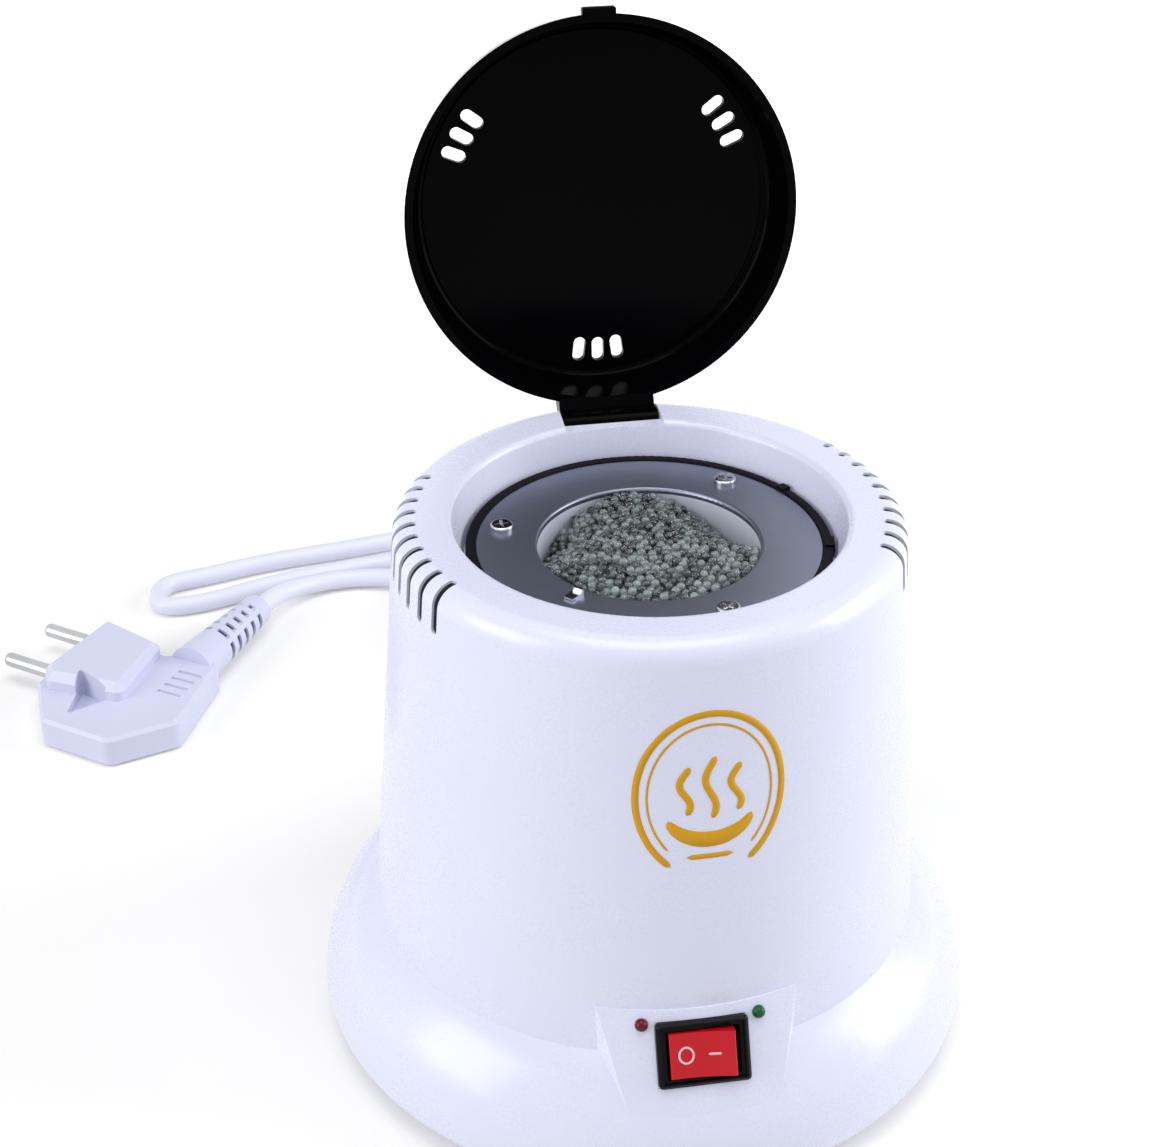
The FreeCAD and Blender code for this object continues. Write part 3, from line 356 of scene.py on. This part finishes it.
def make_finishes():
    """A material for each of the record's slots, and for the smoky beads, plug and print."""
    grey = linear(184, 186, 198)
    return {
        "housing_white": housing_finish(),
        "lid_black": moulded("lid_black", linear(2, 2, 3), linear(4, 4, 6), 0.12, 500.0,
                             0.000006, gloss=0.022),
        "seal_black": moulded("seal_black", linear(4, 4, 12), linear(8, 8, 18), 0.55, 1200.0,
                              gloss=0.1),
        "plate_steel": plate_finish(),
        "bowl_steel": bare_metal("bowl_steel", linear(240, 246, 255), linear(234, 241, 255), 0.5,
                                 metallic=0.12),
        "screw_steel": bare_metal("screw_steel", linear(205, 206, 210), linear(180, 182, 188),
                                  0.2),
        # Each glass's back colour and lighter front colour carry the painted light across the
        # heap
        "bead_glass": glass_finish("bead_glass", linear(160, 174, 178), linear(214, 226, 228),
                                   0.72),
        "bead_smoke": glass_finish("bead_smoke", linear(46, 56, 62), linear(104, 116, 122), 0.76),
        "base_grey": moulded("base_grey", grey, linear(172, 174, 188), 0.45),
        "foot_rubber": moulded("foot_rubber", linear(36, 36, 38), linear(48, 48, 50), 0.75),
        "shield_metal": bare_metal("shield_metal", linear(196, 198, 202), linear(176, 178, 184),
                                   0.34, 420.0, 0.00002, (1, 1, 0.1)),
        "heater_mica": ceramic_finish("heater_mica", linear(150, 128, 96), linear(96, 80, 58),
                                      0.5),
        "collar_ceramic": ceramic_finish("collar_ceramic", linear(232, 228, 216),
                                         linear(200, 192, 174), 0.6),
        "insulation_fibre": fibre_finish("insulation_fibre", linear(236, 233, 222),
                                         linear(206, 200, 184)),
        "brass": bare_metal("brass", linear(206, 172, 98), linear(176, 140, 72), 0.28),
        "switch_black": moulded("switch_black", linear(5, 5, 8), linear(10, 10, 13), 0.22,
                                900.0, 0.00001, gloss=0.1),
        "rocker_red": moulded("rocker_red", linear(208, 14, 34), linear(190, 8, 26), 0.16,
                              700.0, 0.000008, gloss=0.3),
        "lamp_red": lamp_finish("lamp_red", linear(124, 2, 26), linear(70, 0, 14)),
        "lamp_green": lamp_finish("lamp_green", linear(4, 104, 56), linear(2, 52, 30)),
        "block_white": moulded("block_white", linear(234, 234, 228), linear(222, 222, 214), 0.42),
        "wire_brown": moulded("wire_brown", linear(110, 66, 38), linear(92, 54, 30), 0.4),
        "wire_blue": moulded("wire_blue", linear(40, 88, 168), linear(30, 70, 140), 0.4),
        "wire_yellow": moulded("wire_yellow", linear(196, 204, 60), linear(120, 160, 50), 0.4),
        "wire_glass": fibre_finish("wire_glass", linear(232, 228, 210), linear(204, 198, 176)),
        "plug_white": plug_finish(),
        "cord_white": moulded("cord_white", linear(234, 236, 250), linear(227, 229, 246), 0.34,
                              1000.0, 0.00002),
        "tie_black": moulded("tie_black", linear(22, 22, 24), linear(34, 34, 36), 0.5),
        "gold_print": moulded("gold_print", linear(218, 164, 12), linear(204, 146, 8), 0.45,
                              1500.0, 0.00001, gloss=0.25),
        "mark_white": moulded("mark_white", linear(240, 206, 210), linear(230, 192, 198), 0.4),
    }


# Mesh tools
def grid_faces(rows, columns, closed_rows=False, closed_columns=False):
    """Quads between neighbouring points of a grid, which may close on itself either way."""
    last_row = rows if closed_rows else rows - 1
    last_column = columns if closed_columns else columns - 1
    row, column = np.meshgrid(np.arange(last_row), np.arange(last_column), indexing="ij")
    over, on = (row + 1) % rows, (column + 1) % columns
    corners = [row * columns + column, over * columns + column, over * columns + on,
               row * columns + on]
    return np.stack([c.ravel() for c in corners], axis=1)


def mesh_piece(name, points, faces, finish, body):
    """A piece from arrays of points and faces, smooth, finished and riding on a body."""
    mesh = bpy.data.meshes.new(name)
    mesh.from_pydata(np.asarray(points).reshape(-1, 3).tolist(), [], np.asarray(faces).tolist())
    mesh.polygons.foreach_set("use_smooth", np.ones(len(mesh.polygons), bool))
    mesh.update()
    piece = bpy.data.objects.new(name, mesh)
    bpy.context.scene.collection.objects.link(piece)
    piece.data.materials.append(finish)
    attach(piece, body)
    return piece


# Camera and light
def make_camera():
    """The camera stands back from its target and is turned a little off it, without roll."""
    data = bpy.data.cameras.new("camera")
    data.sensor_width = SENSOR_WIDTH
    data.lens = FOCAL_PIXELS * data.sensor_width / IMAGE_WIDTH
    data.clip_start, data.clip_end = 0.01, 20.0
    camera = bpy.data.objects.new("camera", data)
    flat = math.cos(CAMERA_ELEVATION)
    back = Vector((math.sin(CAMERA_AZIMUTH) * flat, -math.cos(CAMERA_AZIMUTH) * flat,
                   math.sin(CAMERA_ELEVATION)))
    right = (-back).cross(Vector((0, 0, 1))).normalized()
    up = right.cross(-back)
    aim = -back + right * CAMERA_PAN + up * CAMERA_TILT
    camera.location = CAMERA_TARGET + back * CAMERA_DISTANCE
    camera.rotation_mode = "QUATERNION"
    camera.rotation_quaternion = aim.to_track_quat("-Z", "Y")
    bpy.context.scene.collection.objects.link(camera)
    bpy.context.scene.camera = camera


def soft_box(name, place, aim, size, power, colour=(1, 1, 1)):
    """A square area lamp at a place, facing an aim point."""
    data = bpy.data.lights.new(name, "AREA")
    data.shape = "RECTANGLE"
    data.size, data.size_y = size
    data.energy = power
    data.color = colour
    lamp = bpy.data.objects.new(name, data)
    lamp.location = place
    lamp.rotation_euler = (Vector(aim) - Vector(place)).to_track_quat("-Z", "Y").to_euler()
    bpy.context.scene.collection.objects.link(lamp)


def shown_rays(finish):
    """1 where a ray comes from the camera, a reflection or a clear piece, 0 for other light."""
    seen = finish.node("ShaderNodeLightPath", output="Is Camera Ray")
    outputs = seen.socket.node.outputs
    mirrored = Value(finish, outputs["Is Glossy Ray"])
    return seen + mirrored + Value(finish, outputs["Is Transmission Ray"])


WORLD_LIGHT = (0.36, 0.368, 0.405, 1)
WORLD_SEEN = (1, 1, 1, 1)


def make_world():
    """Dim cool light, and plain white where the surroundings are seen or mirrored."""
    world = bpy.data.worlds.new("studio")
    world.use_nodes = True
    bpy.context.scene.world = world
    nodes, links = world.node_tree.nodes, world.node_tree.links
    background = nodes["Background"]
    paths = nodes.new("ShaderNodeLightPath")
    mix = nodes.new("ShaderNodeMix")
    mix.data_type = "RGBA"
    mix.inputs[6].default_value = WORLD_LIGHT
    mix.inputs[7].default_value = WORLD_SEEN
    total = nodes.new("ShaderNodeMath")
    total.use_clamp = True
    both = nodes.new("ShaderNodeMath")
    links.new(paths.outputs["Is Camera Ray"], both.inputs[0])
    links.new(paths.outputs["Is Glossy Ray"], both.inputs[1])
    links.new(both.outputs[0], total.inputs[0])
    links.new(paths.outputs["Is Transmission Ray"], total.inputs[1])
    links.new(total.outputs[0], mix.inputs[0])
    links.new(mix.outputs[2], background.inputs["Color"])


FLOOR_RADII = (0.4, 4.0)
FLOOR_SIDES = 96


def make_floor():
    """A wide disc at z = 0 that shows white and keeps the object's shadow.

    Far from the object, where the lamps fade, the glow makes up for them."""
    finish = Finish("floor_white")
    across, along, _ = finish.apart()
    reach = (across * across + along * along) ** 0.5
    glow = finish.ramp(reach, [(0.0, 0.145), (0.28, 0.21), (0.62, 0.97)])
    grain = finish.noise(3.0, 1.0)
    lit = finish.node("ShaderNodeBsdfDiffuse", None,
                      {"Color": finish.mix(grain, (0.87, 0.86, 0.83, 1), (0.89, 0.88, 0.85, 1))})
    shine = finish.node("ShaderNodeEmission", None,
                       {"Color": glow, "Strength": shown_rays(finish)})
    both = finish.node("ShaderNodeAddShader", None, {0: lit, 1: shine})
    finish.node("ShaderNodeOutputMaterial", None, {"Surface": both})
    side = np.arange(FLOOR_SIDES)
    angle = 2 * np.pi * side / FLOOR_SIDES
    radii = np.array(FLOOR_RADII)[:, None]
    rings = np.stack([radii * np.cos(angle), radii * np.sin(angle), radii * angle * 0], axis=-1)
    points = np.concatenate([np.zeros((1, 3)), rings.reshape(-1, 3)])
    inner = np.stack([side * 0, 1 + side, 1 + (side + 1) % FLOOR_SIDES], axis=1)
    outer = grid_faces(2, FLOOR_SIDES, closed_columns=True)[:, ::-1] + 1
    mesh = bpy.data.meshes.new("floor")
    mesh.from_pydata(points.tolist(), [], inner.tolist() + outer.tolist())
    floor = bpy.data.objects.new("floor", mesh)
    floor.data.materials.append(finish.material)
    bpy.context.scene.collection.objects.link(floor)


def make_lights():
    """Two tall boxes at the sides and one overhead, so the middle of the front is the darkest."""
    soft_box("left", (-1.15, -0.30, 0.55), (0, 0, 0.09), (0.7, 0.9), 7.6)
    soft_box("right", (1.15, -0.12, 0.50), (0, 0, 0.09), (0.7, 0.9), 9.5, (0.97, 0.98, 1.0))
    soft_box("top", (0.0, -0.10, 1.15), (0, 0, 0.1), (0.8, 0.6), 4.6)


# Mains cord
def plug_place(along, across, height):
    """A point given in the plug's own directions."""
    cos, sin = math.cos(PLUG_TURN), math.sin(PLUG_TURN)
    return (PLUG_CENTRE[0] + along * cos - across * sin,
            PLUG_CENTRE[1] + along * sin + across * cos, height)


CORD_START = (0.0, 0.079, 0.013)
CORD_TO_COIL = [
    CORD_START, (0.0, 0.106, 0.013), (0.014, 0.1275, 0.0085), (0.042, 0.1365, 0.0031),
    (0.060, 0.158, 0.0031), (0.064, 0.190, 0.0031), (0.050, 0.220, 0.0031),
    (0.014, 0.236, 0.0031), (-0.022, 0.2325, 0.0031), (-0.052, 0.2256, 0.0031),
    (-0.084, 0.221, 0.0031), (-0.106, 0.2145, 0.0031), (-0.120, 0.2115, 0.0031),
    (-0.1205, 0.197, 0.0031), (-0.106, 0.1975, 0.0031), (-0.084, 0.2065, 0.0031),
    (-0.052, 0.2135, 0.0031), (-0.024, 0.2155, 0.0031), (0.004, 0.2125, 0.0040)]
COIL_TO_PLUG = [
    (-0.028, 0.188, 0.0095), (-0.040, 0.201, 0.0044), (-0.058, 0.206, 0.0031),
    (-0.0725, 0.202, 0.0042), plug_place(0.072, RELIEF_OFFSET, RELIEF_Z),
    plug_place(0.058, RELIEF_OFFSET, RELIEF_Z)]
COIL_FIRST_ANGLE = 80.0
COIL_SWEEP = 973.0
COIL_POINTS_PER_TURN = 20
STRAND_STEP = 0.0031
UPPER_RISE = 0.0053
HUMP_RISE = 0.0007
# Where the coil changes, in degrees wound
STEP_IN = (290, 345)
CLIMB = (585, 650)
HUMP_UP = (630, 665)
HUMP_DOWN = (700, 740)


def eased(x, start, end):
    """Rises smoothly from 0 at start to 1 at end."""
    t = np.clip((x - start) / (end - start), 0, 1)
    return t * t * (3 - 2 * t)


def coil_points():
    """Two turns side by side on the floor and one in the groove above, wound clockwise.

    The radius steps in before the first turn closes, and the strand climbs before the second
    does, so that it rides over the step."""
    count = int(COIL_SWEEP / 360 * COIL_POINTS_PER_TURN)
    wound = np.linspace(0, COIL_SWEEP, count)
    radius = COIL_RADIUS + STRAND_STEP * (1 - 2 * eased(wound, *STEP_IN) + eased(wound, *CLIMB))
    height = COIL_FLOOR_Z + UPPER_RISE * eased(wound, *CLIMB)
    height = height + HUMP_RISE * (eased(wound, *HUMP_UP) - eased(wound, *HUMP_DOWN))
    angle = np.radians(COIL_FIRST_ANGLE - wound)
    shrink = math.cos(math.pi / COIL_POINTS_PER_TURN) ** 0.5
    x = COIL_CENTRE[0] + radius / shrink * np.cos(angle)
    y = COIL_CENTRE[1] + radius / shrink * np.sin(angle)
    return list(zip(x.tolist(), y.tolist(), height.tolist()))


def make_cord(finish):
    """The whole mains lead on one smooth line: out of the gland, folded, coiled, to the plug."""
    route = CORD_TO_COIL + coil_points() + COIL_TO_PLUG
    data = bpy.data.curves.new("mains_cord", "CURVE")
    data.dimensions = "3D"
    data.resolution_u = 8
    data.bevel_depth = CORD_RADIUS
    data.bevel_resolution = 5
    line = data.splines.new("NURBS")
    line.points.add(len(route) - 1)
    for point, place in zip(line.points, route):
        point.co = (*place, 1.0)
    line.order_u = 3
    line.use_endpoint_u = True
    line.use_smooth = True
    cord = bpy.data.objects.new("mains_cord", data)
    bpy.context.scene.collection.objects.link(cord)
    data.materials.append(finish)
    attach(cord, "base")
    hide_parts("power_cord", "cord_coil")


# Glass beads
BEAD_RADIUS = 0.00105
BEAD_LAYERS = 3
BEAD_PITCH = BEAD_RADIUS * 1.96
ROW_PITCH = BEAD_PITCH * 0.87
LAYER_PITCH = BEAD_RADIUS * 1.66
BEAD_SHAKE = BEAD_RADIUS * 0.55
WALL_GAP = 0.0001
PUSH_ROUNDS = 16
PUSH_SHARE = 0.3
SMOKY_SHARE = 0.52
HEAP_TOP_Z = 0.1292
HEAP_CROWN = 0.0021
HEAP_SIDE_FALL = 0.0125
HEAP_LEAN = 0.02


def heap_height(x, y):
    """The heap's upper surface: a low dome that falls away to both sides of its back, where the
    bowl's wall shows."""
    across, along = x / BOWL_RADIUS, y / BOWL_RADIUS
    dome = HEAP_TOP_Z - HEAP_CROWN * (across ** 2 + along ** 2)
    return dome - HEAP_SIDE_FALL * (across + HEAP_LEAN) ** 2 * eased(along, -0.35, 0.45)


def bead_centres():
    """Layers of a staggered grid under the heap's surface, shaken and then pushed apart."""
    draw = np.random.default_rng(7)
    reach = BOWL_RADIUS - BEAD_RADIUS - WALL_GAP
    layers = []
    for layer in range(BEAD_LAYERS):
        column, row = np.meshgrid(np.arange(-17, 18), np.arange(-19, 20))
        x = (column + 0.5 * (row % 2) + 0.33 * layer) * BEAD_PITCH
        y = (row + 0.58 * (layer % 2)) * ROW_PITCH
        x, y = x.ravel(), y.ravel()
        inside = np.hypot(x, y) < reach
        x, y = x[inside], y[inside]
        z = heap_height(x, y) - BEAD_RADIUS - layer * LAYER_PITCH
        layers.append(np.stack([x, y, z], axis=1))
    centres = np.concatenate(layers)
    centres += draw.normal(0, BEAD_SHAKE, centres.shape)
    for _ in range(PUSH_ROUNDS):
        gap = centres[:, None, :] - centres[None, :, :]
        far = np.sqrt((gap ** 2).sum(axis=2)) + np.eye(len(centres))
        push = np.clip(2 * BEAD_RADIUS - far, 0, None) * (far < 2 * BEAD_RADIUS)
        centres += (gap / far[:, :, None] * push[:, :, None]).sum(axis=1) * PUSH_SHARE
        out = np.hypot(centres[:, 0], centres[:, 1])
        centres[:, :2] *= np.minimum(1.0, reach / np.maximum(out, 1e-6))[:, None]
        cap = heap_height(centres[:, 0], centres[:, 1]) - BEAD_RADIUS * 0.7
        centres[:, 2] = np.minimum(centres[:, 2], cap)
    return centres


def make_beads(clear, smoky):
    """About 1500 glass balls, each the same small ball moved to its centre, clear or smoky."""
    pattern = bmesh.new()
    bmesh.ops.create_icosphere(pattern, subdivisions=2, radius=BEAD_RADIUS)
    ball = np.array([v.co[:] for v in pattern.verts])
    faces = np.array([[v.index for v in f.verts] for f in pattern.faces])
    pattern.free()
    centres = bead_centres()
    points = centres[:, None, :] + ball[None, :, :]
    steps = np.arange(len(centres))[:, None, None] * len(ball)
    piece = mesh_piece("loose_beads", points, (faces[None] + steps).reshape(-1, 3), clear,
                       "base")
    piece.data.materials.append(smoky)
    tinted = np.random.default_rng(11).random(len(centres)) < SMOKY_SHARE
    piece.data.polygons.foreach_set("material_index",
                                    np.repeat(tinted, len(faces)).astype(np.int32))
    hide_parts("glass_beads")


# Printed marks
MARK_LIFT = 0.00005
EDGE_SINK = -0.6
END_NARROWING = 0.995
MOTIF_ANGLE = math.radians(-90 + 1.7)
MOTIF_HEIGHT = 0.0995


def stroke(path, half_width, taper=0.0):
    """A drawn line as a strip in a plane: four columns, the outer two at the same place as the
    inner two but sunk below the surface, so that the strip has edges. Returns the plane's two
    coordinates and the lift, each with one row per point of the path."""
    path = np.asarray(path)
    along = np.gradient(path, axis=0)
    along /= np.linalg.norm(along, axis=1)[:, None]
    across = np.stack([-along[:, 1], along[:, 0]], axis=1)
    place = np.linspace(-1, 1, len(path))
    width = half_width * np.ones(len(path))
    if taper:
        end = np.clip((np.abs(place) - 1 + taper) / taper, 0, 1)
        width = width * np.sqrt(1 - END_NARROWING * end ** 2)
    side = np.array([-1.0, -1.0, 1.0, 1.0])
    flat = path[:, None, :] + across[:, None, :] * (side[None, :] * width[:, None])[:, :, None]
    rises = np.array([EDGE_SINK, 1.0, 1.0, EDGE_SINK]) * MARK_LIFT
    lift = np.broadcast_to(rises, flat.shape[:2])
    return flat[:, :, 0], flat[:, :, 1], lift


def ring_path(radius_x, radius_y, start, end, count):
    """Points on an ellipse between two angles in degrees."""
    angle = np.radians(np.linspace(start, end, count))
    return np.stack([radius_x * np.cos(angle), radius_y * np.sin(angle)], axis=1)


def motif_strokes():
    """A generic design: an open ring round three rising waves of warmth over a shallow dish."""
    dish = ring_path(0.0096, 0.0070, 196, 344, 33) + (0, -0.0036)
    swell = 0.0005 + 0.0014 * np.sin(np.linspace(0, np.pi, 33)) ** 0.7
    rise = np.linspace(0, 1, 41)
    sway = 0.0012 * np.sin(rise * 2.2 * np.pi + 0.3)
    waves = [np.stack([shift + sway, tall * (rise - 0.36)], axis=1)
             for shift, tall in ((-0.0056, 0.0116), (0.0, 0.0150), (0.0056, 0.0116))]
    foot = np.stack([np.linspace(-0.0052, 0.0052, 9), np.full(9, -0.0148)], axis=1)
    strokes = [stroke(ring_path(0.0162, 0.0200, -58, 238, 97), 0.00075, 0.03),
               stroke(ring_path(0.0137, 0.0174, -48, 228, 97), 0.00026, 0.02),
               stroke(dish, swell, 0.1), stroke(foot, 0.0006, 0.12)]
    return strokes + [stroke(wave, 0.00078, 0.2) for wave in waves]


def on_body(sideways, upward, lift):
    """The plane wrapped round the body: angle is distance over radius, radius grows downwards."""
    height = MOTIF_HEIGHT + upward
    radius = BODY_TOP_RADIUS + (BODY_TOP_Z - height) * BODY_SLOPE
    angle = MOTIF_ANGLE + sideways / radius
    reach = radius + lift
    return np.stack([reach * np.cos(angle), reach * np.sin(angle), height], axis=-1)


# The rocker's face: a shallow valley that turns steeper at VALLEY_BEND from its middle
VALLEY_Z, VALLEY_SLOPE = 0.0027, 0.0667
VALLEY_BEND, BEND_Z, OUTER_SLOPE = 0.00375, 0.00295, 0.2


def on_rocker(sideways, upward, lift):
    """The plane laid in the rocker's shallow valley, tilted with it and set into the console."""
    from_middle = np.abs(sideways)
    valley = np.maximum(VALLEY_Z + VALLEY_SLOPE * from_middle,
                        BEND_Z + OUTER_SLOPE * (from_middle - VALLEY_BEND))
    level = valley + lift
    cos, sin = math.cos(ROCKER_TILT), math.sin(ROCKER_TILT)
    right, out = sideways * cos - level * sin, sideways * sin + level * cos
    lean_cos, lean_sin = math.cos(CONSOLE_LEAN), math.sin(CONSOLE_LEAN)
    reach = CONSOLE_TOP_RADIUS + PAD_BELOW_EDGE * lean_sin - PAD_DEPTH * lean_cos
    height = CONSOLE_TOP_Z - PAD_BELOW_EDGE * lean_cos - PAD_DEPTH * lean_sin
    return np.stack([right, -reach + upward * lean_sin - out * lean_cos,
                     height + upward * lean_cos + out * lean_sin], axis=-1)


def printed(name, strokes, wrap, finish, body):
    """One piece made of drawn lines, each wrapped on the surface that carries it."""
    points, faces, start = [], [], 0
    for sideways, upward, lift in strokes:
        points.append(wrap(sideways, upward, lift).reshape(-1, 3))
        faces.append(grid_faces(len(sideways), 4) + start)
        start += sideways.size
    return mesh_piece(name, np.concatenate(points), np.concatenate(faces), finish, body)


def make_marks(finishes):
    printed("gold_motif", motif_strokes(), on_body, finishes["gold_print"], "base")
    circle = stroke(ring_path(0.0016, 0.0018, 0, 360, 49) + (-0.0037, 0), 0.00024)
    dash = stroke(np.stack([np.linspace(0.0012, 0.0042, 9), np.zeros(9)], axis=1), 0.00028, 0.1)
    printed("switch_marks", [circle, dash], on_rocker, finishes["mark_white"], "rocker")


# Nodes that don't take their slot's finish
OWN_FINISH = {"plug_body": "plug_white"}


def dress_nodes(finishes):
    """Every CAD node takes the finish of its material slot, or its own where it has one."""
    for entry in frame["record"]["subparts"]:
        node = frame["nodes"][entry["node"]]
        finish = finishes[OWN_FINISH.get(entry["node"], entry["material_slot"])]
        for place in node.material_slots:
            place.material = finish


bpy.context.scene.view_settings.view_transform = "Standard"
make_camera()
make_world()
make_floor()
make_lights()
finishes = make_finishes()
dress_nodes(finishes)
make_cord(finishes["cord_white"])
make_beads(finishes["bead_glass"], finishes["bead_smoke"])
make_marks(finishes)
